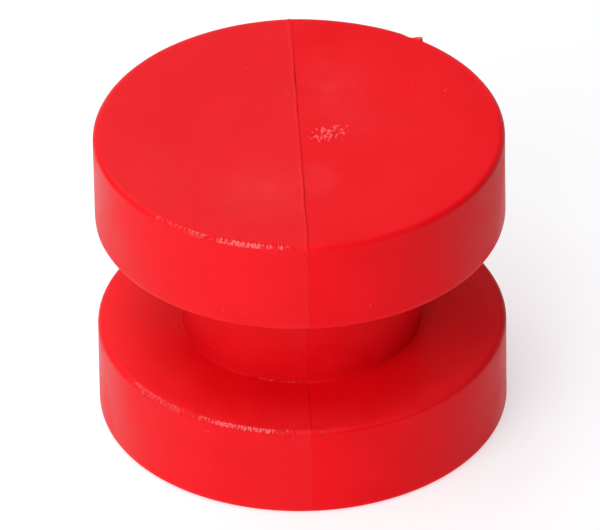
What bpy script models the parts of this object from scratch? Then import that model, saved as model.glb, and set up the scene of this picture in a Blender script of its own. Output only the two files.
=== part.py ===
"""Small diabolo: a spool of two thick discs on a fat hub, with a weighted steel core closed inside two half shells.

The spin axis is +Z and the base stands at z = 0. The shells meet on the plane x = 0. All lengths are in metres.
"""

import math

import bmesh
import bpy
from mathutils import Matrix, Vector

MM = 0.001

# Outside form
DISC_RADIUS = 30.0 * MM
DISC_THICKNESS = 14.6 * MM
HUB_RADIUS = 17.6 * MM
GROOVE_WIDTH = 17.8 * MM
HEIGHT = 2 * DISC_THICKNESS + GROOVE_WIDTH
MIDDLE = HEIGHT / 2
RIM_FILLET = 0.85 * MM
HUB_FILLET = 0.6 * MM
DISH_DEPTH = 0.45 * MM
DISH_FLAT_RADIUS = 12.0 * MM
LAND_INNER_RADIUS = 24.5 * MM

# Shell halves
WALL = 2.2 * MM
CAVITY_RADIUS = DISC_RADIUS - WALL
CAVITY_BASE = WALL + DISH_DEPTH
CAVITY_CEILING = DISC_THICKNESS - WALL
HUB_CAVITY_RADIUS = HUB_RADIUS - WALL
FIT_GAP = 0.3 * MM
RIB_THICKNESS = 1.6 * MM
RIB_ROOT = 1.0 * MM
RIB_ANGLES = (0, 50, 130, 180, 230, 310)
RIB_INNER_RADIUS = 8.0 * MM
SADDLE_SPREAD = 6.0 * MM
BOSS_RADIUS = 2.6 * MM
BOSS_REACH = 13.0 * MM
BOSS_OFFSET = 23.6 * MM
BOSS_HEIGHT = DISC_THICKNESS / 2
PEG_RADIUS = 1.25 * MM
PEG_LENGTH = 4.0 * MM
PEG_ROOT = 2.5 * MM

# Steel core, measured outwards from the middle of the hub
ROD_RADIUS = 2.5 * MM
ROD_CHAMFER = 0.6 * MM
CORE_BORE_RADIUS = ROD_RADIUS + FIT_GAP
TUBE_RADIUS = 6.0 * MM
WEIGHT_RADIUS = 20.0 * MM
WEIGHT_THICKNESS = 3.0 * MM
WEIGHT_CHAMFER = 0.4 * MM
WASHER_RADIUS = 5.0 * MM
WASHER_THICKNESS = 1.0 * MM
NUT_ACROSS_FLATS = 8.0 * MM
NUT_THICKNESS = 4.0 * MM
NUT_CHAMFER_ANGLE = math.radians(30)
NUT_FACE_RADIUS = 3.8 * MM
ROD_PROUD = 0.4 * MM
SMALL_CHAMFER = 0.15 * MM

WEIGHT_CLEARANCE = 0.4 * MM
WEIGHT_INSIDE = MIDDLE - CAVITY_CEILING + WEIGHT_CLEARANCE
WEIGHT_OUTSIDE = WEIGHT_INSIDE + WEIGHT_THICKNESS
WASHER_INSIDE = WEIGHT_OUTSIDE + FIT_GAP
WASHER_OUTSIDE = WASHER_INSIDE + WASHER_THICKNESS
NUT_INSIDE = WASHER_OUTSIDE + FIT_GAP
NUT_OUTSIDE = NUT_INSIDE + NUT_THICKNESS
ROD_HALF_LENGTH = NUT_OUTSIDE + ROD_PROUD
TUBE_HALF_LENGTH = WEIGHT_INSIDE - FIT_GAP
RIB_SHELF = MIDDLE - WEIGHT_OUTSIDE - FIT_GAP

# Facets
SKIN_STEPS = 72
CORE_STEPS = 32
FILLET_SEGMENTS = 3
MERGE = 0.00001
SHARP_ANGLE = math.radians(35)


def start_scene():
    for obj in list(bpy.data.objects):
        bpy.data.objects.remove(obj, do_unlink=True)
    parts = bpy.data.collections.new("diabolo")
    cutters = bpy.data.collections.new("diabolo_cutters")
    ribs = bpy.data.collections.new("diabolo_shell_ribs")
    for collection in (parts, cutters, ribs):
        bpy.context.scene.collection.children.link(collection)
    return parts, cutters, ribs


def make_material(name, colour, roughness, metallic=0.0):
    material = bpy.data.materials.new(name)
    material.use_nodes = True
    material.diffuse_color = (*colour, 1.0)
    shader = material.node_tree.nodes["Principled BSDF"]
    shader.inputs["Base Color"].default_value = (*colour, 1.0)
    shader.inputs["Roughness"].default_value = roughness
    shader.inputs["Metallic"].default_value = metallic
    return material


def as_part(obj, material):
    """Gives a visible piece its material and its smooth shading."""
    obj.data.materials.clear()
    obj.data.materials.append(material)
    obj.data.shade_smooth()
    obj.data.set_sharp_from_angle(angle=SHARP_ANGLE)
    return obj


def as_helper(obj):
    obj.hide_render = True
    obj.display_type = "WIRE"
    return obj


def add_object(name, mesh, collection):
    obj = bpy.data.objects.new(name, mesh)
    collection.objects.link(obj)
    return obj


def fillet(before, corner, after, radius, segments=FILLET_SEGMENTS):
    """Points of the arc that rounds a corner of a profile."""
    corner = Vector(corner)
    to_before = (Vector(before) - corner).normalized()
    to_after = (Vector(after) - corner).normalized()
    half_angle = to_before.angle(to_after) / 2
    centre = corner + (to_before + to_after).normalized() * radius / math.sin(half_angle)
    start = corner + to_before * radius / math.tan(half_angle) - centre
    end = corner + to_after * radius / math.tan(half_angle) - centre
    turn = start.angle_signed(end)
    points = []
    for i in range(segments + 1):
        # angle_signed is clockwise, and a positive 2D rotation is anticlockwise
        points.append(tuple(centre + Matrix.Rotation(-turn * i / segments, 2) @ start))
    return points


def rounded(corners):
    """A profile from (radius, height, fillet) corners, with each corner that has a fillet rounded."""
    points = []
    for i, (x, z, radius) in enumerate(corners):
        if radius:
            points += fillet(corners[i - 1][:2], (x, z), corners[i + 1][:2], radius)
        else:
            points.append((x, z))
    return points


def turned(name, profile, collection, steps, closed=False):
    """An (x, z) profile turned about Z. The profile runs down its outer side."""
    mesh = bpy.data.meshes.new(name)
    edges = [(i, i + 1) for i in range(len(profile) - 1)]
    if closed:
        edges.append((len(profile) - 1, 0))
    mesh.from_pydata([(x, 0, z) for x, z in profile], edges, [])
    obj = add_object(name, mesh, collection)
    screw = obj.modifiers.new("turn", "SCREW")
    screw.axis = "Z"
    screw.steps = steps
    screw.render_steps = steps
    screw.use_merge_vertices = True
    screw.merge_threshold = MERGE
    screw.use_smooth_shade = True
    return obj


def ring_profile(inner, outer, low, high, chamfer):
    """The section of a flat ring, with its two outer edges chamfered."""
    return [
        (inner, high),
        (outer - chamfer, high),
        (outer, high - chamfer),
        (outer, low + chamfer),
        (outer - chamfer, low),
        (inner, low),
    ]


def boolean(obj, operation, other):
    modifier = obj.modifiers.new(operation.lower() + "_" + other.name, "BOOLEAN")
    modifier.operation = operation
    modifier.solver = "EXACT"
    if isinstance(other, bpy.types.Collection):
        modifier.operand_type = "COLLECTION"
        modifier.collection = other
    else:
        modifier.object = other


def cylinder(name, radius, start, end, collection, vertices=24):
    """A plain cylinder between two points."""
    start = Vector(start)
    along = Vector(end) - start
    bpy.ops.mesh.primitive_cylinder_add(vertices=vertices, radius=radius, depth=along.length)
    obj = bpy.context.object
    obj.name = name
    obj.rotation_euler = along.to_track_quat("Z", "Y").to_euler()
    obj.location = start + along / 2
    move_to(obj, collection)
    return obj


def box(name, low, high, collection):
    bpy.ops.mesh.primitive_cube_add(size=1)
    obj = bpy.context.object
    obj.name = name
    low = Vector(low)
    high = Vector(high)
    obj.data.transform(Matrix.Diagonal((*(high - low), 1)))
    obj.location = (low + high) / 2
    move_to(obj, collection)
    return obj


def move_to(obj, collection):
    for old in list(obj.users_collection):
        old.objects.unlink(obj)
    collection.objects.link(obj)


def mirrored_height(z, up):
    """A height measured from the base, or the same height measured down from the top."""
    return HEIGHT - z if up else z


def skin_profile():
    """The outside of the whole diabolo, from the middle of the top to the middle of the base."""
    groove_top = HEIGHT - DISC_THICKNESS
    groove_base = DISC_THICKNESS
    return rounded(
        [
            (0, HEIGHT - DISH_DEPTH, 0),
            (DISH_FLAT_RADIUS, HEIGHT - DISH_DEPTH, 0),
            (LAND_INNER_RADIUS, HEIGHT, 0),
            (DISC_RADIUS, HEIGHT, RIM_FILLET),
            (DISC_RADIUS, groove_top, RIM_FILLET),
            (HUB_RADIUS, groove_top, HUB_FILLET),
            (HUB_RADIUS, groove_base, HUB_FILLET),
            (DISC_RADIUS, groove_base, RIM_FILLET),
            (DISC_RADIUS, 0, RIM_FILLET),
            (LAND_INNER_RADIUS, 0, 0),
            (DISH_FLAT_RADIUS, DISH_DEPTH, 0),
            (0, DISH_DEPTH, 0),
        ]
    )


def cavity_profile():
    return [
        (0, HEIGHT - CAVITY_BASE),
        (CAVITY_RADIUS, HEIGHT - CAVITY_BASE),
        (CAVITY_RADIUS, HEIGHT - CAVITY_CEILING),
        (HUB_CAVITY_RADIUS, HEIGHT - CAVITY_CEILING),
        (HUB_CAVITY_RADIUS, CAVITY_CEILING),
        (CAVITY_RADIUS, CAVITY_CEILING),
        (CAVITY_RADIUS, CAVITY_BASE),
        (0, CAVITY_BASE),
    ]


def weight_rib(name, angle, up, collection):
    """An L-shaped radial rib: a shelf outside the weight disc and an upright round its rim."""
    upright_radius = WEIGHT_RADIUS + FIT_GAP
    outer_radius = CAVITY_RADIUS + RIB_ROOT
    low = CAVITY_BASE - RIB_ROOT
    high = CAVITY_CEILING + RIB_ROOT
    outline = [
        (RIB_INNER_RADIUS, low),
        (outer_radius, low),
        (outer_radius, high),
        (upright_radius, high),
        (upright_radius, RIB_SHELF),
        (RIB_INNER_RADIUS, RIB_SHELF),
    ]
    curve = bpy.data.curves.new(name, "CURVE")
    curve.dimensions = "2D"
    curve.fill_mode = "BOTH"
    curve.extrude = RIB_THICKNESS / 2
    spline = curve.splines.new("POLY")
    spline.points.add(len(outline) - 1)
    for point, (x, z) in zip(spline.points, outline):
        point.co = (x, mirrored_height(z, up), 0, 1)
    spline.use_cyclic_u = True
    guide = add_object(name + "_outline", curve, collection)
    guide.matrix_world = Matrix.Rotation(math.radians(angle), 4, "Z") @ Matrix.Rotation(math.pi / 2, 4, "X")
    return mesh_of_curve(guide, name, collection)


def mesh_of_curve(guide, name, collection):
    """The curve's solid as a mesh object, with its caps welded. The curve is removed."""
    bpy.context.view_layer.update()
    graph = bpy.context.evaluated_depsgraph_get()
    mesh = bpy.data.meshes.new_from_object(guide.evaluated_get(graph))
    shape = bmesh.new()
    shape.from_mesh(mesh)
    bmesh.ops.remove_doubles(shape, verts=shape.verts, dist=MERGE)
    bmesh.ops.recalc_face_normals(shape, faces=shape.faces)
    shape.to_mesh(mesh)
    shape.free()
    obj = add_object(name, mesh, collection)
    obj.matrix_world = guide.matrix_world
    bpy.data.objects.remove(guide, do_unlink=True)
    return obj


def fill_ribs(ribs):
    """What is moulded inside the shells, whole across the seam: weight ribs, hub saddles and peg bosses."""
    for up in (False, True):
        end = "upper" if up else "lower"
        for angle in RIB_ANGLES:
            weight_rib(f"{end}_weight_rib_{angle}", angle, up, ribs)
        centre = MIDDLE + SADDLE_SPREAD * (1 if up else -1)
        saddle = ring_profile(
            TUBE_RADIUS + FIT_GAP,
            HUB_CAVITY_RADIUS + RIB_ROOT,
            centre - RIB_THICKNESS / 2,
            centre + RIB_THICKNESS / 2,
            SMALL_CHAMFER,
        )
        turned(f"{end}_hub_saddle", saddle, ribs, CORE_STEPS, closed=True)
        for side in (-1, 1):
            z = mirrored_height(BOSS_HEIGHT, up)
            floor = mirrored_height(CAVITY_BASE - RIB_ROOT, up)
            y = side * BOSS_OFFSET
            name = f"{end}_{'back' if side > 0 else 'front'}"
            cylinder(f"{name}_boss", BOSS_RADIUS, (-BOSS_REACH, y, z), (BOSS_REACH, y, z), ribs)
            box(
                f"{name}_boss_web",
                (-BOSS_REACH, y - RIB_THICKNESS / 2, min(floor, z)),
                (BOSS_REACH, y + RIB_THICKNESS / 2, max(floor, z)),
                ribs,
            )
    for rib in ribs.objects:
        as_helper(rib)


def peg_places():
    return [(side * BOSS_OFFSET, mirrored_height(BOSS_HEIGHT, up)) for side in (-1, 1) for up in (False, True)]


def half_shell(name, side, parts, cutters, ribs, material):
    """One half of the moulded body. Side is -1 for the half at -X, which has the pegs, and 1 for the other."""
    shell = turned(name, skin_profile(), parts, SKIN_STEPS)
    cavity = turned(name + "_cavity", cavity_profile(), cutters, SKIN_STEPS)
    boolean(shell, "DIFFERENCE", as_helper(cavity))
    boolean(shell, "UNION", ribs)
    seam = side * FIT_GAP / 2
    reach = 2 * DISC_RADIUS
    low = (min(seam, -side * reach), -reach, -reach)
    high = (max(seam, -side * reach), reach, HEIGHT + reach)
    other_half = box(name + "_other_half", low, high, cutters)
    boolean(shell, "DIFFERENCE", as_helper(other_half))
    for i, (y, z) in enumerate(peg_places()):
        if side < 0:
            peg = cylinder(f"peg_{i}", PEG_RADIUS, (-PEG_ROOT, y, z), (PEG_LENGTH, y, z), cutters)
            boolean(shell, "UNION", as_helper(peg))
        else:
            depth = PEG_LENGTH + 2 * FIT_GAP
            socket = cylinder(f"socket_{i}", PEG_RADIUS + FIT_GAP, (-depth, y, z), (depth, y, z), cutters)
            boolean(shell, "DIFFERENCE", as_helper(socket))
    return as_part(shell, material)


def axle_rod(parts, material):
    top = MIDDLE + ROD_HALF_LENGTH
    base = MIDDLE - ROD_HALF_LENGTH
    profile = [
        (0, top),
        (ROD_RADIUS - ROD_CHAMFER, top),
        (ROD_RADIUS, top - ROD_CHAMFER),
        (ROD_RADIUS, base + ROD_CHAMFER),
        (ROD_RADIUS - ROD_CHAMFER, base),
        (0, base),
    ]
    as_part(turned("axle_rod", profile, parts, CORE_STEPS), material)


def core_ring(name, outer, inside, outside, up, chamfer, parts, material):
    """A bored disc on the rod, placed by its distances from the middle of the hub."""
    low = MIDDLE + inside if up else MIDDLE - outside
    high = MIDDLE + outside if up else MIDDLE - inside
    profile = ring_profile(CORE_BORE_RADIUS, outer, low, high, chamfer)
    as_part(turned(name, profile, parts, CORE_STEPS, closed=True), material)


def hex_nut(name, up, parts, cutters, material):
    """A hexagon nut with the usual 30 degree chamfer round both ends."""
    corner_radius = NUT_ACROSS_FLATS / 2 / math.cos(math.pi / 6)
    middle = MIDDLE + (1 if up else -1) * (NUT_INSIDE + NUT_OUTSIDE) / 2
    low = middle - NUT_THICKNESS / 2
    high = middle + NUT_THICKNESS / 2
    nut = cylinder(name, corner_radius, (0, 0, low), (0, 0, high), parts, vertices=6)
    wide_radius = corner_radius + MM
    drop = (wide_radius - NUT_FACE_RADIUS) * math.tan(NUT_CHAMFER_ANGLE)
    envelope_profile = [
        (0, high),
        (NUT_FACE_RADIUS, high),
        (wide_radius, high - drop),
        (wide_radius, low + drop),
        (NUT_FACE_RADIUS, low),
        (0, low),
    ]
    envelope = turned(name + "_envelope", envelope_profile, cutters, CORE_STEPS)
    boolean(nut, "INTERSECT", as_helper(envelope))
    bore = cylinder(name + "_bore", CORE_BORE_RADIUS, (0, 0, low - MM), (0, 0, high + MM), cutters)
    boolean(nut, "DIFFERENCE", as_helper(bore))
    as_part(nut, material)


def main():
    parts, cutters, ribs = start_scene()
    red = make_material("red_plastic", (0.83, 0.012, 0.02), 0.42)
    steel = make_material("rod_steel", (0.56, 0.57, 0.58), 0.3, 1.0)
    aluminium = make_material("tube_aluminium", (0.77, 0.78, 0.79), 0.35, 1.0)
    iron = make_material("weight_iron", (0.32, 0.33, 0.35), 0.55, 1.0)
    zinc = make_material("zinc_plate", (0.68, 0.7, 0.72), 0.28, 1.0)

    fill_ribs(ribs)
    half_shell("left_half_shell", -1, parts, cutters, ribs, red)
    half_shell("right_half_shell", 1, parts, cutters, ribs, red)
    axle_rod(parts, steel)
    core_ring("spacer_tube", TUBE_RADIUS, -TUBE_HALF_LENGTH, TUBE_HALF_LENGTH, True, SMALL_CHAMFER, parts, aluminium)
    for end in ("lower", "upper"):
        up = end == "upper"
        core_ring(
            end + "_weight_disc",
            WEIGHT_RADIUS,
            WEIGHT_INSIDE,
            WEIGHT_OUTSIDE,
            up,
            WEIGHT_CHAMFER,
            parts,
            iron,
        )
        core_ring(
            end + "_washer",
            WASHER_RADIUS,
            WASHER_INSIDE,
            WASHER_OUTSIDE,
            up,
            SMALL_CHAMFER,
            parts,
            zinc,
        )
        hex_nut(end + "_nut", up, parts, cutters, zinc)


main()
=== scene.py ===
"""The looks of a small red diabolo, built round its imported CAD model.

The spin axis is +Z, the base stands at z = 0, and the two moulded halves meet on the plane x = 0.
"""

import math

import bmesh
import bpy
import numpy as np
from mathutils import Matrix, Vector, noise


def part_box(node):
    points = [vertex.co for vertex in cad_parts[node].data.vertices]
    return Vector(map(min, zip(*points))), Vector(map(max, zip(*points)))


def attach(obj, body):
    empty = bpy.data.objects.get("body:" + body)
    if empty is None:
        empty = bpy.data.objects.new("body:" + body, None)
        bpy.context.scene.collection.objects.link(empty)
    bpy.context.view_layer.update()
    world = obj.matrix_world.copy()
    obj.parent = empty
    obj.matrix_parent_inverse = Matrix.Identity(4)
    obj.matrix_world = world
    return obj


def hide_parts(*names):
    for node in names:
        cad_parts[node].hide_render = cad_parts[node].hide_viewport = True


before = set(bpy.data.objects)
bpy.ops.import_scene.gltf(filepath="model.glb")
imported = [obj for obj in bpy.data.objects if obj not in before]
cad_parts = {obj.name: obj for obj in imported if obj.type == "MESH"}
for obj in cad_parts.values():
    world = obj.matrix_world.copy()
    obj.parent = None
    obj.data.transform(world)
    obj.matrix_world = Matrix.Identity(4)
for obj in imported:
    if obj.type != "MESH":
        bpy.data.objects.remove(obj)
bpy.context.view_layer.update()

MM = 0.001

# Outside form. The radius and the height are the CAD model's.
DISC_RADIUS = -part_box("left_half_shell")[0].x
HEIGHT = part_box("left_half_shell")[1].z
MIDDLE = HEIGHT / 2
DISC_THICKNESS = 14.6 * MM
HUB_RADIUS = 17.6 * MM
RIM_FILLET = 0.85 * MM
HUB_FILLET = 0.25 * MM
DISH_DEPTH = 0.45 * MM
DISH_FLAT_RADIUS = 13.0 * MM
LAND_INNER_RADIUS = 26.0 * MM

# Grid of the moulded surface
SKIN_STEPS = 320
SKIN_SPACING = 0.55 * MM
FILLET_SEGMENTS = 9
SEAM_GAP = 0.003 * MM
SEAM_COLUMNS = (0.05, 0.09, 0.13, 0.18, 0.24, 0.31, 0.4, 0.52, 0.68, 0.9, 1.2)
SEAM_BAND = 1.6 * MM
DETAIL_CUTS = 4
CORE_STEPS = 96

# The outer skin is HOLLOW_INSET thick. The CAD shell is kept below INSIDE_INSET, so the two overlap.
HOLLOW_INSET = 1.4 * MM
INSIDE_INSET = 0.8 * MM

# Moulding faults. The halves of the mould sat a little out of line, and flash was trimmed off by hand.
MISMATCH = 0.09 * MM
LIP_HEIGHT = 0.05 * MM
LIP_WIDTH = 0.2 * MM
FLANK_WIDTH = 0.16 * MM
BACK_RIDGE_HEIGHT = 0.07 * MM
BACK_RIDGE_WIDTH = 0.3 * MM
BACK_RIDGE_OFFSET = 0.2 * MM
SEAM_WANDER = 0.12 * MM
SEAM_OFFSET = 0.1 * MM
BACK_START = 20.5 * MM
BACK_END = 23.0 * MM
WAVE_HEIGHT = 0.03 * MM
WAVE_LENGTH = 9.0 * MM

# Marks on the top face, and patches of painted sheen
SCUFF_CENTRE = (4.4 * MM, -0.2 * MM)
SCUFF_RADII = (3.6 * MM, 2.3 * MM)
SCUFF_TILT = math.radians(14)
SCUFF_RISE = 0.18 * MM
SCUFF_SINK = 0.09 * MM
SCUFF_GRAIN = 0.75 * MM
# Spots of painted sheen on the top face, where the lights' reflection is painted in as paler plastic
SHEEN_SPOTS = (
    # x and y of the middle, x and y radius, strength
    (-6.5 * MM, -14.5 * MM, 5.5 * MM, 6.5 * MM, 1.0),
    (2.6 * MM, -11.5 * MM, 2.6 * MM, 4.0 * MM, 0.9),
    (5.5 * MM, 12.0 * MM, 4.5 * MM, 7.0 * MM, 0.8),
    (8.0 * MM, 2.0 * MM, 8.0 * MM, 4.0 * MM, 0.35),
    (-21.0 * MM, -9.0 * MM, 5.0 * MM, 9.0 * MM, 0.35),
)
# Painted sheen over the whole top face, on the lower disc's ledge and along the far top edge
SHEEN_BASE = 0.12
LEDGE_SHEEN = 0.5
FAR_EDGE = (28.6 * MM, 29.6 * MM)
NUB_ANGLE = math.radians(51.2)
NUB_LENGTH = 1.0 * MM
NUB_RISE = 0.58 * MM

# Stretches of edge with a painted highlight: the base colour is paled where the lights glint, under a glossy
# coat
GLINT_EDGES = (
    # height of the edge, first and last angle, strength
    (HEIGHT, math.radians(-137), math.radians(-93), 1.06),
    (DISC_THICKNESS, math.radians(-150), math.radians(-94), 0.97),
    (DISC_THICKNESS, math.radians(-88.5), math.radians(-84.5), 1.06),
)
GLINT_FADE = math.radians(3)
GLINT_PATCH = 2.2 * MM
GLINT_HUB_ARC = (math.radians(-119), math.radians(-90))
GLINT_HUB_STRENGTH = 0.74
GLINT_INSET = 0.25 * MM
SMOOTH_ANGLE = math.radians(50)

# Plastic
# The two halves get their own reds, set for how the light falls on them: the left half, nearer the lights,
# is a little less red, and the right half, away from them, has less green and blue, as painted light and
# shade
LEFT_REDS = ((0.8, 0.0035, 0.009), (0.84, 0.0055, 0.012))
RIGHT_REDS = ((0.82, 0.0025, 0.0075), (0.86, 0.0045, 0.0105))
LEFT_GLOSS = 0.11
RIGHT_GLOSS = 0.07
# The pale red of the painted sheen
SHEEN_COLOUR = (0.85, 0.022, 0.028)
# Pale red of torn flakes and specks, also used for the painted highlights on the nub and the edges
PALE_COLOUR = (1.0, 0.15, 0.16)

# Steel core. CORE_BORE is the radius of the hole in the tube, the weights and the washers.
CORE_BORE = 2.8 * MM
THREAD_PITCH = 0.8 * MM
THREAD_DEPTH = 0.45 * MM
THREAD_LENGTH = 12.0 * MM
THREAD_ROWS = 8
THREAD_STEPS = 48
THREAD_PLAY = 0.03 * MM
BORE_CHAMFER = 0.15 * MM
ROD_CHAMFER = 0.6 * MM
NUT_FACE_RADIUS = 3.8 * MM
WEIGHT_STEPS = 160

# Camera and lights
VIEW_AZIMUTH = -1.9
VIEW_ELEVATION = 34.66
VIEW_ROLL = -1.0
VIEW_DISTANCE = 60 * DISC_RADIUS
VIEW_WIDTH = 87.9 * MM
AIM_RIGHT = -0.16 * MM
AIM_UP = -0.2 * MM
SENSOR = 36.0
FLOOR_RADIUS = 6.0
FLOOR_DROP = 0.02 * MM
LIGHT_DISTANCE = 0.6
SOFT_LIGHTS = (
    # name, azimuth and elevation in degrees, width and height in metres, watts
    ("front_left", -29, 31, 0.45, 0.42, 2.2),
    ("high_left", -50, 72, 0.38, 0.34, 1.62),
    ("back_left", -150, 56, 0.5, 0.36, 1.35),
    ("backdrop", 176, 12, 1.3, 0.25, 0.75),
)


# ---------------------------------------------------------------- outlines


def fillet(before, corner, after, radius):
    """Points of the arc that rounds a corner of an outline."""
    corner = Vector(corner)
    to_before = (Vector(before) - corner).normalized()
    to_after = (Vector(after) - corner).normalized()
    half_angle = to_before.angle(to_after) / 2
    centre = corner + (to_before + to_after).normalized() * radius / math.sin(half_angle)
    start = corner + to_before * radius / math.tan(half_angle) - centre
    end = corner + to_after * radius / math.tan(half_angle) - centre
    turn = start.angle_signed(end)
    points = []
    for i in range(FILLET_SEGMENTS + 1):
        # angle_signed is clockwise, and a positive 2D rotation is anticlockwise
        points.append(tuple(centre + Matrix.Rotation(-turn * i / FILLET_SEGMENTS, 2) @ start))
    return points


def rounded(corners):
    """An outline from (radius, height, fillet) corners."""
    points = []
    for i, (x, z, radius) in enumerate(corners):
        if radius:
            points += fillet(corners[i - 1][:2], (x, z), corners[i + 1][:2], radius)
        else:
            points.append((x, z))
    return points


def divided(points, spacing):
    """The same outline with its long stretches cut into steps of about spacing."""
    dense = []
    for (x0, z0), (x1, z1) in zip(points, points[1:]):
        count = max(1, round(math.hypot(x1 - x0, z1 - z0) / spacing))
        for i in range(count):
            share = i / count
            dense.append((x0 + (x1 - x0) * share, z0 + (z1 - z0) * share))
    dense.append(points[-1])
    return dense


def body_outline(inset=0.0):
    """Half the section of the whole body, from the middle of the top to the middle of the base."""
    radius = DISC_RADIUS - inset
    hub = HUB_RADIUS - inset
    top = HEIGHT - inset
    groove_top = HEIGHT - DISC_THICKNESS + inset
    groove_base = DISC_THICKNESS - inset
    rim = max(RIM_FILLET - inset, 0)
    root = HUB_FILLET + inset
    return rounded(
        [
            (0, top, 0),
            (radius, top, rim),
            (radius, groove_top, rim),
            (hub, groove_top, root),
            (hub, groove_base, root),
            (radius, groove_base, rim),
            (radius, inset, rim),
            (0, inset, 0),
        ]
    )


# ---------------------------------------------------------------- meshes


def turned_mesh(name, outline, steps, bump=None):
    """A closed outline, or one that starts and ends on the axis, turned about Z.

    The outline runs down its outer side. bump(angle, radius, height) may change the radius.
    """
    on_axis = outline[0][0] == 0
    rings = np.array(outline[1:-1] if on_axis else outline)
    angles = 2 * np.pi * np.arange(steps) / steps
    radius = np.repeat(rings[:, :1], steps, axis=1)
    height = np.repeat(rings[:, 1:], steps, axis=1)
    around = np.broadcast_to(angles, radius.shape)
    if bump is not None:
        radius = bump(around, radius, height)
    points = np.stack([radius * np.cos(around), radius * np.sin(around), height], axis=-1).reshape(-1, 3)
    count = len(rings)
    row = np.arange(count - 1 if on_axis else count)[:, None]
    column = np.arange(steps)[None, :]
    below = (row + 1) % count
    beside = (column + 1) % steps
    corners = (row * steps + column, below * steps + column, below * steps + beside, row * steps + beside)
    grids = [np.broadcast_to(corner, (len(row), steps)) for corner in corners]
    faces = np.stack(grids, axis=-1).reshape(-1, 4).tolist()
    points = points.tolist()
    if on_axis:
        top, base = len(points), len(points) + 1
        points += [[0, 0, outline[0][1]], [0, 0, outline[-1][1]]]
        last = (count - 1) * steps
        faces += [[top, i, (i + 1) % steps] for i in range(steps)]
        faces += [[base, last + (i + 1) % steps, last + i] for i in range(steps)]
    mesh = bpy.data.meshes.new(name)
    mesh.from_pydata(points, [], faces)
    return mesh


def add_object(name, data):
    obj = bpy.data.objects.new(name, data)
    bpy.context.scene.collection.objects.link(obj)
    return obj


def combine(obj, operation, other):
    """A Boolean, applied. The other object is used up."""
    modifier = obj.modifiers.new(operation, "BOOLEAN")
    modifier.operation = operation
    modifier.solver = "MANIFOLD"
    modifier.object = other
    bpy.context.view_layer.update()
    graph = bpy.context.evaluated_depsgraph_get()
    mesh = bpy.data.meshes.new_from_object(obj.evaluated_get(graph))
    mesh.name = obj.name
    obj.modifiers.clear()
    obj.data = mesh
    bpy.data.objects.remove(other, do_unlink=True)


def welded_copy(node):
    """A copy of a CAD node's mesh with its split corners joined, so that it is one closed surface."""
    shape = bmesh.new()
    shape.from_mesh(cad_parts[node].data)
    bmesh.ops.remove_doubles(shape, verts=shape.verts, dist=MM / 10000)
    mesh = bpy.data.meshes.new(node + "_copy")
    shape.to_mesh(mesh)
    shape.free()
    return mesh


def smooth(obj, angle=SMOOTH_ANGLE):
    obj.data.shade_smooth()
    obj.data.set_sharp_from_angle(angle=angle)


# ---------------------------------------------------------------- moulded surface


def blend(low, high, values):
    """0 below low, 1 above high, and a smooth rise between."""
    t = np.clip((values - low) / (high - low), 0, 1)
    return t * t * (3 - 2 * t)


def noise_at(points, length, offset=0.0):
    shift = Vector((offset, offset, offset))
    return np.array([noise.noise(Vector(p) / length + shift) for p in points])


def ellipse_distance(points, centre, radii, tilt=0.0):
    """Distance from a centre in the XY plane, where 1 is the edge of the ellipse."""
    x = points[:, 0] - centre[0]
    y = points[:, 1] - centre[1]
    along = (x * math.cos(tilt) + y * math.sin(tilt)) / radii[0]
    across = (-x * math.sin(tilt) + y * math.cos(tilt)) / radii[1]
    return np.hypot(along, across)


def dish(points):
    """How far the flat ends sink towards their middles."""
    radius = np.hypot(points[:, 0], points[:, 1])
    depth = DISH_DEPTH * (1 - blend(DISH_FLAT_RADIUS, LAND_INNER_RADIUS, radius))
    on_top = points[:, 2] > HEIGHT - MM / 100
    on_base = points[:, 2] < MM / 100
    return depth * (on_base * 1.0 - on_top * 1.0)


def at_back(points):
    """1 on the last 7 mm of the top face at the back, where the flash is wide and rounded."""
    far_back = blend(BACK_START, BACK_END, points[:, 1])
    high_up = blend(HEIGHT - 2 * RIM_FILLET, HEIGHT - RIM_FILLET, points[:, 2])
    return far_back * high_up


def seam_lip(points, side):
    """The raised lip of trimmed flash beside the seam."""
    on_top = blend(HEIGHT - RIM_FILLET, HEIGHT, points[:, 2])
    radius = np.hypot(points[:, 0], points[:, 1])
    in_groove = (radius < DISC_RADIUS - RIM_FILLET) & (points[:, 2] < HEIGHT - MM)
    back = at_back(points)
    along = points * (0, 1, 1)
    ragged = 1 + 0.8 * noise_at(along, 1.1 * MM, 4.0) + 0.5 * noise_at(along, 0.4 * MM, 2.0)
    strength = np.where(in_groove, 0.25, 0.3 + 0.7 * on_top) * ragged * (1 - back)
    from_seam = np.abs(points[:, 0])
    from_ridge = (points[:, 0] + BACK_RIDGE_OFFSET) / BACK_RIDGE_WIDTH
    ridge = BACK_RIDGE_HEIGHT * back * np.exp(-(from_ridge**2))
    if side < 0:
        crest = np.exp(-(((from_seam - FLANK_WIDTH) / LIP_WIDTH) ** 2))
        flank = blend(-FLANK_WIDTH, FLANK_WIDTH, from_seam)
        return ridge + LIP_HEIGHT * strength * np.where(from_seam < FLANK_WIDTH, flank, crest)
    dip = 0.3 * MISMATCH * np.exp(-((from_seam / (2 * FLANK_WIDTH)) ** 2)) * (1 - back)
    meet = blend(-FLANK_WIDTH, FLANK_WIDTH, from_seam)
    return ridge - dip * on_top + LIP_HEIGHT * strength * 0.5 * (1 - meet)


def seam_wander(points):
    """How far the seam strays from its plane."""
    along = points * (0, 1, 1)
    slow = noise_at(along, 5 * MM, 3.3)
    quick = noise_at(along, MM, 6.1)
    return SEAM_OFFSET + SEAM_WANDER * (slow + 0.3 * quick)


def scuff_area(points):
    near = 1 - blend(0.45, 1.0, ellipse_distance(points, SCUFF_CENTRE, SCUFF_RADII, SCUFF_TILT))
    return near * (points[:, 2] > HEIGHT - 2 * MM)


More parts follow.
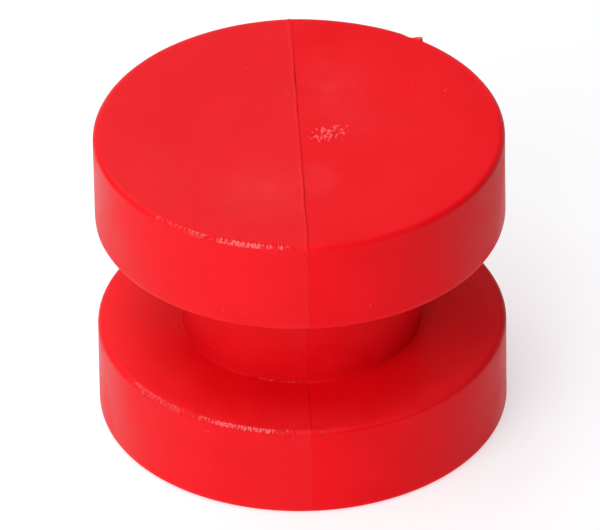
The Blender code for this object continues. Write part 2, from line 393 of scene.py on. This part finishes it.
def scuff_flakes(points):
    """1 on the curled flakes of torn plastic on the top face, and 0 between them and elsewhere."""
    near = scuff_area(points)
    flakes = np.zeros(len(points))
    inside = near > 0
    if inside.any():
        flat = points[inside] * (1, 1, 0)
        bent = flat + 0.3 * SCUFF_GRAIN * noise_at(flat, SCUFF_GRAIN / 2, 9.2)[:, None]
        worm = 1 - blend(0.08, 0.2, np.abs(noise_at(bent, SCUFF_GRAIN, 1.7)))
        broken = blend(-0.1, 0.15, noise_at(flat, 0.9 * SCUFF_GRAIN, 5.1) + 0.6 * (near[inside] - 0.7))
        flakes[inside] = worm * broken
    return flakes


def scuff(points):
    """How far the torn spot rises and sinks."""
    flakes = scuff_flakes(points)
    return SCUFF_RISE * flakes - SCUFF_SINK * scuff_area(points) * (1 - flakes)


def painted_sheen(points):
    """How strongly a painted sheen pales the plastic, from 0 to 1: in spots on top, at the far edge and on
    the lower ledge.
    """
    sheen_level = np.zeros(len(points))
    for x, y, wide, deep, strength in SHEEN_SPOTS:
        distance = ellipse_distance(points, (x, y), (wide, deep))
        sheen_level += strength * np.exp(-(distance**2))
    radius = np.hypot(points[:, 0], points[:, 1])
    on_top = points[:, 2] > HEIGHT - MM
    on_ledge = np.abs(points[:, 2] - DISC_THICKNESS) < MM / 2
    far_edge = blend(*FAR_EDGE, radius) * blend(0, 12 * MM, points[:, 1])
    ledge = LEDGE_SHEEN * blend(20 * MM, 29 * MM, radius)
    return np.clip(sheen_level + SHEEN_BASE + far_edge, 0, 1) * on_top + ledge * on_ledge


def edge_glint(points):
    """Near 1 where an edge carries a painted highlight: stretches of each disc's upper edge and of the hub's
    foot.
    """
    angle = np.arctan2(points[:, 1], points[:, 0])
    radius = np.hypot(points[:, 0], points[:, 1])
    glint_amount = np.zeros(len(points))
    for top, low, high, strength in GLINT_EDGES:
        distance = np.hypot(radius - (DISC_RADIUS - GLINT_INSET), points[:, 2] - (top - GLINT_INSET))
        edge = 1 - blend(0.25 * MM, 0.85 * MM, distance)
        begun = blend(low - GLINT_FADE, low + GLINT_FADE, angle)
        ended = blend(high - GLINT_FADE, high + GLINT_FADE, angle)
        glint_amount = np.maximum(glint_amount, strength * edge * begun * (1 - ended))
    glint_amount *= np.clip(0.97 + 0.7 * noise_at(points, GLINT_PATCH, 8.4), 0.72, 1)
    from_foot = np.hypot(radius - HUB_RADIUS, points[:, 2] - DISC_THICKNESS)
    low, high = GLINT_HUB_ARC
    foot = (1 - blend(0.12 * MM, 0.3 * MM, from_foot)) * blend(low - GLINT_FADE, low + GLINT_FADE, angle)
    return np.maximum(glint_amount, GLINT_HUB_STRENGTH * foot * (angle < high))


def nub(points):
    """The stub of flash on the far top edge, steep on its right side, with a slight dent on its left."""
    angle = np.arctan2(points[:, 1], points[:, 0])
    along = (NUB_ANGLE - angle) * DISC_RADIUS
    radius = np.hypot(points[:, 0], points[:, 1])
    inward = np.abs(radius - (DISC_RADIUS - 0.25 * MM)) / (0.75 * MM)
    up = (HEIGHT - points[:, 2]) / (1.1 * MM)
    close = np.clip(1 - np.hypot(inward, np.clip(up, 0, None)), 0, 1)
    rise = blend(-1.25 * NUB_LENGTH, 0.35 * NUB_LENGTH, along)
    fall = blend(0.4 * NUB_LENGTH, 0.7 * NUB_LENGTH, along)
    dent = np.exp(-(((along + 1.7 * NUB_LENGTH) / (0.8 * NUB_LENGTH)) ** 2))
    return NUB_RISE * blend(0, 1, close) * (rise * (1 - fall) - 0.22 * dent)


def paleness(points):
    """1 on the flakes of the scuff, where the plastic is torn pale, and less on the nub's crest, where the
    paleness is a painted highlight.
    """
    return np.clip(scuff_flakes(points) + 0.5 * blend(0.3 * NUB_RISE, NUB_RISE, nub(points)), 0, 1)


def moulded(points, normals, side):
    """Moves the points of an exact surface to where the real moulding has them."""
    moved = points.copy()
    moved[:, 2] += dish(points)
    waves = noise_at(points, WAVE_LENGTH, 0.3) + 0.4 * noise_at(points, WAVE_LENGTH / 3, 7.7)
    standing = blend(0, MM, points[:, 2])
    lift = WAVE_HEIGHT * waves * standing + seam_lip(points, side) * standing
    moved += normals * (lift + scuff(points))[:, None]
    outwards = np.stack([points[:, 0], points[:, 1], np.full(len(points), DISC_RADIUS * 1.2)], axis=1)
    outwards /= np.linalg.norm(outwards, axis=1)[:, None]
    moved += outwards * nub(points)[:, None]
    moved[:, 0] += seam_wander(points) * np.exp(-((points[:, 0] / MM) ** 2))
    if side > 0:
        level = at_back(points) * (1 - blend(0, 8 * MM, points[:, 0]))
        moved[:, 2] -= MISMATCH * blend(0, 6 * MM, points[:, 2]) * (1 - level)
    else:
        radial = normals * (1, 1, 0) * blend(MM, 3 * MM, points[:, 2])[:, None]
        moved += radial * 0.25 * MISMATCH * (1 - blend(0, 6 * MM, np.abs(points[:, 0])))[:, None]
    return moved


def near_detail(centre, side):
    """Whether a face is clear of the seam, and where the scuff or the nub needs a finer grid."""
    point = np.array([centre])
    if side * centre.x < SEAM_BAND / 2:
        return False
    if centre.z > HEIGHT - MM and ellipse_distance(point, SCUFF_CENTRE, SCUFF_RADII, SCUFF_TILT)[0] < 1.02:
        return True
    if math.hypot(centre.x, centre.y) < DISC_RADIUS - 1.5 * MM or centre.z < HEIGHT - 1.6 * MM:
        return False
    return abs(math.atan2(centre.y, centre.x) - NUB_ANGLE) * DISC_RADIUS < 3.2 * MM


def half_surface(name, side):
    """One moulded half as a solid, with no hollow yet. Side is -1 for the half at -X."""
    mesh = turned_mesh(name, divided(body_outline(), SKIN_SPACING), SKIN_STEPS)
    shape = bmesh.new()
    shape.from_mesh(mesh)
    cuts = [SEAM_GAP / 2] + [offset * MM for offset in SEAM_COLUMNS]
    for i, offset in enumerate(cuts):
        strip = [f for f in shape.faces if i == 0 or abs(f.calc_center_median().x) < SEAM_BAND]
        geometry = list({v for f in strip for v in f.verts} | {e for f in strip for e in f.edges}) + strip
        bmesh.ops.bisect_plane(
            shape,
            geom=geometry,
            dist=1e-8,
            plane_co=(side * offset, 0, 0),
            plane_no=(side, 0, 0),
            clear_inner=i == 0,
        )
    fine = [f for f in shape.faces if near_detail(f.calc_center_median(), side)]
    if fine:
        edges = list({e for f in fine for e in f.edges})
        bmesh.ops.subdivide_edges(shape, edges=edges, cuts=DETAIL_CUTS, use_grid_fill=True)
    shape.normal_update()
    points = np.array([v.co for v in shape.verts])
    normals = np.array([v.normal for v in shape.verts])
    # The flat seam face is cut into triangles while its outline is still exact.
    outline = [e for e in shape.edges if e.is_boundary]
    seam_faces = bmesh.ops.edgeloop_fill(shape, edges=outline)["faces"]
    bmesh.ops.triangulate(shape, faces=seam_faces)
    for vert, place in zip(shape.verts, moulded(points, normals, side)):
        vert.co = place
    shape.to_mesh(mesh)
    shape.free()
    return add_object(name, mesh)


def half_skin(name, side, node, material):
    """A moulded half with the CAD shell's own hollow, ribs, bosses and pegs or sockets inside it."""
    skin = half_surface(name, side)
    hollow = add_object("hollow", turned_mesh("hollow", body_outline(HOLLOW_INSET), CORE_STEPS))
    combine(skin, "DIFFERENCE", hollow)
    inside = add_object("inside", welded_copy(node))
    limit = add_object("limit", turned_mesh("limit", body_outline(INSIDE_INSET), CORE_STEPS))
    combine(inside, "INTERSECT", limit)
    combine(skin, "UNION", inside)
    skin.data.materials.clear()
    skin.data.materials.append(material)
    places = np.array([v.co for v in skin.data.vertices])
    for label, measure in (("torn_and_nub_glint", paleness), ("painted_sheen", painted_sheen), ("edge_glint", edge_glint)):
        skin.data.attributes.new(label, "FLOAT", "POINT").data.foreach_set("value", measure(places))
    smooth(skin)
    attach(skin, "root")
    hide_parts(node)


# ---------------------------------------------------------------- materials


def node_at(tree, kind, **settings):
    node = tree.nodes.new(kind)
    for key, value in settings.items():
        setattr(node, key, value)
    return node


def start_material(name, colour, roughness, metallic=0.0):
    material = bpy.data.materials.new(name)
    material.use_nodes = True
    shader = material.node_tree.nodes["Principled BSDF"]
    shader.inputs["Base Color"].default_value = (*colour, 1)
    shader.inputs["Roughness"].default_value = roughness
    shader.inputs["Metallic"].default_value = metallic
    return material, material.node_tree, shader


def object_coordinates(tree, scale=(1, 1, 1)):
    where = node_at(tree, "ShaderNodeTexCoord")
    mapping = node_at(tree, "ShaderNodeMapping")
    mapping.inputs["Scale"].default_value = scale
    tree.links.new(where.outputs["Object"], mapping.inputs["Vector"])
    return mapping.outputs["Vector"]


def noise_texture(tree, vector, size, detail=2.0, roughness=0.5):
    """Noise whose features are about size metres across."""
    texture = node_at(tree, "ShaderNodeTexNoise")
    texture.inputs["Scale"].default_value = 1 / size
    texture.inputs["Detail"].default_value = detail
    texture.inputs["Roughness"].default_value = roughness
    tree.links.new(vector, texture.inputs["Vector"])
    return texture.outputs["Fac"]


def ranged(tree, value, from_low, from_high, to_low, to_high):
    """The value carried smoothly from one range to another."""
    node = node_at(tree, "ShaderNodeMapRange", interpolation_type="SMOOTHSTEP")
    limits = {"From Min": from_low, "From Max": from_high, "To Min": to_low, "To Max": to_high}
    for socket, number in limits.items():
        node.inputs[socket].default_value = number
    tree.links.new(value, node.inputs["Value"])
    return node.outputs["Result"]


def maths(tree, operation, first, second):
    node = node_at(tree, "ShaderNodeMath", operation=operation)
    for socket, value in zip(node.inputs, (first, second)):
        if isinstance(value, (int, float)):
            socket.default_value = value
        else:
            tree.links.new(value, socket)
    return node.outputs["Value"]


def mixed_colour(tree, factor, first, second):
    node = node_at(tree, "ShaderNodeMix", data_type="RGBA")
    for name, kind, value in (("Factor", "VALUE", factor), ("A", "RGBA", first), ("B", "RGBA", second)):
        socket = next(s for s in node.inputs if s.name == name and s.type == kind)
        if isinstance(value, tuple):
            socket.default_value = (*value, 1)
        else:
            tree.links.new(value, socket)
    return next(s for s in node.outputs if s.type == "RGBA")


def bumped(tree, height, distance, before=None):
    node = node_at(tree, "ShaderNodeBump")
    node.inputs["Distance"].default_value = distance
    tree.links.new(height, node.inputs["Height"])
    if before is not None:
        tree.links.new(before, node.inputs["Normal"])
    return node.outputs["Normal"]


def round_noise(tree, around, along):
    """Noise in streaks that run up and down the edges: around wide and along tall."""
    where = node_at(tree, "ShaderNodeTexCoord")
    apart = node_at(tree, "ShaderNodeSeparateXYZ")
    tree.links.new(where.outputs["Object"], apart.inputs["Vector"])
    angle = maths(tree, "ARCTAN2", apart.outputs["Y"], apart.outputs["X"])
    together = node_at(tree, "ShaderNodeCombineXYZ")
    tree.links.new(maths(tree, "MULTIPLY", angle, DISC_RADIUS / around), together.inputs["X"])
    tree.links.new(maths(tree, "MULTIPLY", apart.outputs["Z"], 1 / along), together.inputs["Y"])
    return noise_texture(tree, together.outputs["Vector"], 1.0, detail=1)


def vertex_value(tree, name):
    return node_at(tree, "ShaderNodeAttribute", attribute_name=name).outputs["Fac"]


def red_plastic(name, reds, gloss_level):
    """Semi-matte plastic with fine grain, patches of painted sheen, pale specks, torn flakes, and edge
    stretches with a glossy coat and a painted highlight.
    """
    dark, light = reds
    material, tree, shader = start_material(name, dark, 0.42)
    shader.inputs["Specular IOR Level"].default_value = gloss_level
    shader.inputs["Coat Roughness"].default_value = 0.14
    place = object_coordinates(tree)
    patches = noise_texture(tree, place, 8 * MM, detail=3)
    grain = noise_texture(tree, place, 0.3 * MM, detail=3, roughness=0.6)
    pebbles = noise_texture(tree, place, 0.9 * MM, detail=2)
    specks = ranged(tree, noise_texture(tree, place, 0.8 * MM, detail=1), 0.8, 0.83, 0, 1)

    torn_and_nub_glint = vertex_value(tree, "torn_and_nub_glint")
    teeth = round_noise(tree, 0.26 * MM, 0.8 * MM)
    glint_here = vertex_value(tree, "edge_glint")
    # Painted highlight on the edge stretches: a streaky mask that sets a glossy coat and pales the base
    # colour
    ragged = maths(tree, "MULTIPLY", glint_here, maths(tree, "ADD", teeth, 0.1))
    dents = maths(tree, "MULTIPLY", glint_here, maths(tree, "SUBTRACT", teeth, 0.5))
    glint_amount = ranged(tree, ragged, 0.48, 0.6, 0, 0.65)
    pale = maths(tree, "MAXIMUM", torn_and_nub_glint, specks)
    # The edge stretches' painted highlight pales the base colour too
    pale = maths(tree, "MAXIMUM", pale, maths(tree, "MULTIPLY", glint_amount, 0.5))

    base = mixed_colour(tree, ranged(tree, patches, 0.3, 0.7, 0, 1), dark, light)
    mottle = noise_texture(tree, place, 2.5 * MM, detail=4, roughness=0.6)
    # Painted sheen: the base colour is paled where the vertex value says, mottled by noise
    sheen_level = maths(tree, "MULTIPLY", vertex_value(tree, "painted_sheen"), ranged(tree, mottle, 0.25, 0.7, 0.4, 1))
    base = mixed_colour(tree, sheen_level, base, SHEEN_COLOUR)
    # Torn flakes and specks are pale plastic; on the nub's crest and the edge stretches the paleness is a
    # painted highlight
    base = mixed_colour(tree, maths(tree, "MULTIPLY", pale, 0.85), base, PALE_COLOUR)
    tree.links.new(base, shader.inputs["Base Color"])

    roughness = ranged(tree, patches, 0.35, 0.65, 0.38, 0.5)
    roughness = maths(tree, "ADD", roughness, maths(tree, "MULTIPLY", torn_and_nub_glint, 0.12))
    tree.links.new(roughness, shader.inputs["Roughness"])
    coat = maths(tree, "MAXIMUM", glint_amount, maths(tree, "MULTIPLY", torn_and_nub_glint, 0.5))
    tree.links.new(coat, shader.inputs["Coat Weight"])
    normal = bumped(tree, pebbles, 0.02 * MM)
    normal = bumped(tree, grain, 0.02 * MM, normal)
    normal = bumped(tree, dents, 0.45 * MM, normal)
    tree.links.new(normal, shader.inputs["Normal"])
    return material


def metal(name, colour, roughness, grain_scale, grain_depth):
    """Bare metal whose grain runs round the axis or along it, as grain_scale stretches it."""
    material, tree, shader = start_material(name, colour, roughness, 1.0)
    streaks = noise_texture(tree, object_coordinates(tree, scale=grain_scale), 1.0, detail=4, roughness=0.65)
    stains = noise_texture(tree, object_coordinates(tree), 4 * MM, detail=3)
    dark = tuple(0.8 * c for c in colour)
    stained = mixed_colour(tree, ranged(tree, stains, 0.35, 0.7, 0, 1), colour, dark)
    tree.links.new(stained, shader.inputs["Base Color"])
    spread = ranged(tree, streaks, 0.3, 0.7, roughness * 0.75, roughness * 1.3)
    tree.links.new(spread, shader.inputs["Roughness"])
    tree.links.new(bumped(tree, streaks, grain_depth), shader.inputs["Normal"])
    return material


# ---------------------------------------------------------------- steel core


def core_piece(name, mesh, node, material, angle=math.radians(32)):
    """A detailed piece of the core in the place of its CAD node."""
    mesh.materials.append(material)
    piece = add_object(name, mesh)
    smooth(piece, angle)
    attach(piece, "root")
    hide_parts(node)


def ring_outline(node, bore, edge):
    """The section of a bored disc that fills its CAD node's box, with every edge rounded."""
    low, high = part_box(node)
    outer = high.x
    corners = [(bore, high.z), (outer, high.z), (outer, low.z), (bore, low.z)]
    points = []
    for i, corner in enumerate(corners):
        points += fillet(corners[i - 1], corner, corners[(i + 1) % 4], edge)
    return points


def thread_drop(around, height):
    """How deep the thread is cut below its crest, for a right-hand helix about Z."""
    phase = (height / THREAD_PITCH - around / (2 * np.pi)) % 1.0
    flank = np.abs(2 * phase - 1)
    return THREAD_DEPTH * np.clip(1.25 * flank - 0.125, 0, 1)


def rod_mesh():
    low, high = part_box("axle_rod")
    radius = high.x
    rows = round((high.z - low.z) / THREAD_PITCH * THREAD_ROWS)
    heights = [high.z + (low.z - high.z) * i / rows for i in range(rows + 1)]
    outline = [(0, high.z)] + [(radius, z) for z in heights] + [(0, low.z)]

    def cut(around, wide, height):
        from_end = np.minimum(height - low.z, high.z - height)
        fade = 1 - blend(THREAD_LENGTH - THREAD_PITCH, THREAD_LENGTH, from_end)
        threaded = wide - thread_drop(around, height) * fade
        return np.minimum(threaded, radius - ROD_CHAMFER + from_end)

    return turned_mesh("axle_rod_threaded", outline, THREAD_STEPS, cut)


def nut_mesh(node):
    """A hexagon nut with chamfered corners and a thread that matches the rod's."""
    low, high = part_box(node)
    flats = high.x
    corner = flats / math.cos(math.pi / 6)
    wide = corner + MM
    drop = (wide - NUT_FACE_RADIUS) * math.tan(math.pi / 6)
    outline = [(0, high.z), (NUT_FACE_RADIUS, high.z), (wide, high.z - drop)]
    outline += [(wide, low.z + drop), (NUT_FACE_RADIUS, low.z), (0, low.z)]
    nut = add_object("nut", turned_mesh("nut", outline, CORE_STEPS))
    prism = bmesh.new()
    depth = 4 * (high.z - low.z)
    bmesh.ops.create_cone(prism, cap_ends=True, segments=6, radius1=corner, radius2=corner, depth=depth)
    bmesh.ops.rotate(prism, verts=prism.verts, matrix=Matrix.Rotation(math.pi / 6, 3, "Z"))
    bmesh.ops.translate(prism, verts=prism.verts, vec=(0, 0, (low.z + high.z) / 2))
    hexagon = bpy.data.meshes.new("hexagon")
    prism.to_mesh(hexagon)
    prism.free()
    combine(nut, "INTERSECT", add_object("hexagon", hexagon))
    rod_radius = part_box("axle_rod")[1].x
    rows = round((high.z - low.z) / THREAD_PITCH * THREAD_ROWS) + 4
    bore = [(rod_radius, high.z + MM / 2 + (low.z - high.z - MM) * i / rows) for i in range(rows + 1)]
    outline = [(0, bore[0][1])] + bore + [(0, bore[-1][1])]

    def cut(around, wide, height):
        mouth = np.maximum(height - high.z, low.z - height) + rod_radius + BORE_CHAMFER
        return np.maximum(wide - thread_drop(around, height) + THREAD_PLAY, mouth)

    combine(nut, "DIFFERENCE", add_object("bore", turned_mesh("bore", outline, THREAD_STEPS, cut)))
    mesh = nut.data
    mesh.name = node + "_threaded"
    bpy.data.objects.remove(nut, do_unlink=True)
    return mesh


def steel_core():
    turned_grain = (1 / (0.25 * MM), 1 / (0.25 * MM), 1 / (0.05 * MM))
    drawn_grain = (1 / (0.12 * MM), 1 / (0.12 * MM), 1 / (4 * MM))
    steel = metal("rod_steel", (0.56, 0.57, 0.58), 0.28, drawn_grain, 0.004 * MM)
    tube = metal("tube_aluminium", (0.77, 0.78, 0.79), 0.34, drawn_grain, 0.006 * MM)
    iron = metal("weight_iron", (0.32, 0.33, 0.35), 0.5, turned_grain, 0.012 * MM)
    zinc = metal("zinc_plate", (0.68, 0.7, 0.72), 0.25, turned_grain, 0.003 * MM)
    core_piece("threaded_axle_rod", rod_mesh(), "axle_rod", steel)
    outline = ring_outline("spacer_tube", CORE_BORE, 0.15 * MM)
    mesh = turned_mesh("tube", outline, CORE_STEPS)
    core_piece("hub_spacer_tube", mesh, "spacer_tube", tube)
    for end in ("upper", "lower"):
        outline = ring_outline(end + "_weight_disc", CORE_BORE, 0.4 * MM)
        mesh = turned_mesh(end + "_weight", outline, WEIGHT_STEPS)
        core_piece(end + "_flywheel_disc", mesh, end + "_weight_disc", iron)
        outline = ring_outline(end + "_washer", CORE_BORE, 0.18 * MM)
        mesh = turned_mesh(end + "_ring", outline, CORE_STEPS)
        core_piece(end + "_plain_washer", mesh, end + "_washer", zinc)
        core_piece(end + "_hex_nut", nut_mesh(end + "_nut"), end + "_nut", zinc)


# ---------------------------------------------------------------- stage


def direction(azimuth, elevation):
    """The way from the object to a camera or a light. Azimuth 0 is in front, at -Y, and 90 is at +X."""
    a = math.radians(azimuth)
    e = math.radians(elevation)
    return Vector((math.sin(a) * math.cos(e), -math.cos(a) * math.cos(e), math.sin(e)))


def add_camera():
    camera = bpy.data.cameras.new("camera")
    camera.sensor_width = SENSOR
    camera.lens = SENSOR * VIEW_DISTANCE / VIEW_WIDTH
    camera.clip_start = VIEW_DISTANCE / 10
    camera.clip_end = VIEW_DISTANCE * 10
    obj = add_object("camera", camera)
    back = direction(VIEW_AZIMUTH, VIEW_ELEVATION)
    turn = back.to_track_quat("Z", "Y").to_matrix() @ Matrix.Rotation(math.radians(VIEW_ROLL), 3, "Z")
    aim = Vector((0, 0, MIDDLE)) + turn @ Vector((AIM_RIGHT, AIM_UP, 0))
    obj.matrix_world = Matrix.Translation(aim + back * VIEW_DISTANCE) @ turn.to_4x4()
    bpy.context.scene.camera = obj


def add_area_light(name, azimuth, elevation, distance, width, height, watts):
    light = bpy.data.lights.new(name, "AREA")
    light.shape = "RECTANGLE"
    light.size = width
    light.size_y = height
    light.energy = watts
    obj = add_object(name, light)
    back = direction(azimuth, elevation)
    obj.location = Vector((0, 0, MIDDLE)) + back * distance
    obj.rotation_euler = back.to_track_quat("Z", "Y").to_euler()


def add_stage():
    shape = bmesh.new()
    bmesh.ops.create_circle(shape, cap_ends=True, segments=96, radius=FLOOR_RADIUS)
    mesh = bpy.data.meshes.new("floor")
    shape.to_mesh(mesh)
    shape.free()
    floor = add_object("floor", mesh)
    floor.location.z = -FLOOR_DROP
    material, _, shader = start_material("floor_paper", (0.5, 0.5, 0.5), 0.9)
    shader.inputs["Specular IOR Level"].default_value = 0.1
    shader.inputs["Emission Color"].default_value = (0.96, 0.98, 1, 1)
    shader.inputs["Emission Strength"].default_value = 0.6
    mesh.materials.append(material)

    world = bpy.data.worlds.new("studio")
    bpy.context.scene.world = world
    world.use_nodes = True
    background = world.node_tree.nodes["Background"]
    background.inputs["Color"].default_value = (0.94, 0.97, 1.0, 1)
    background.inputs["Strength"].default_value = 0.06

    for name, azimuth, elevation, width, height, watts in SOFT_LIGHTS:
        add_area_light(name, azimuth, elevation, LIGHT_DISTANCE, width, height, watts)
    bpy.context.scene.view_settings.view_transform = "Standard"


# ---------------------------------------------------------------- the whole object

left_plastic = red_plastic("red_plastic_left", LEFT_REDS, LEFT_GLOSS)
right_plastic = red_plastic("red_plastic_right", RIGHT_REDS, RIGHT_GLOSS)
half_skin("left_half_skin", -1, "left_half_shell", left_plastic)
half_skin("right_half_skin", 1, "right_half_shell", right_plastic)
steel_core()
add_camera()
add_stage()
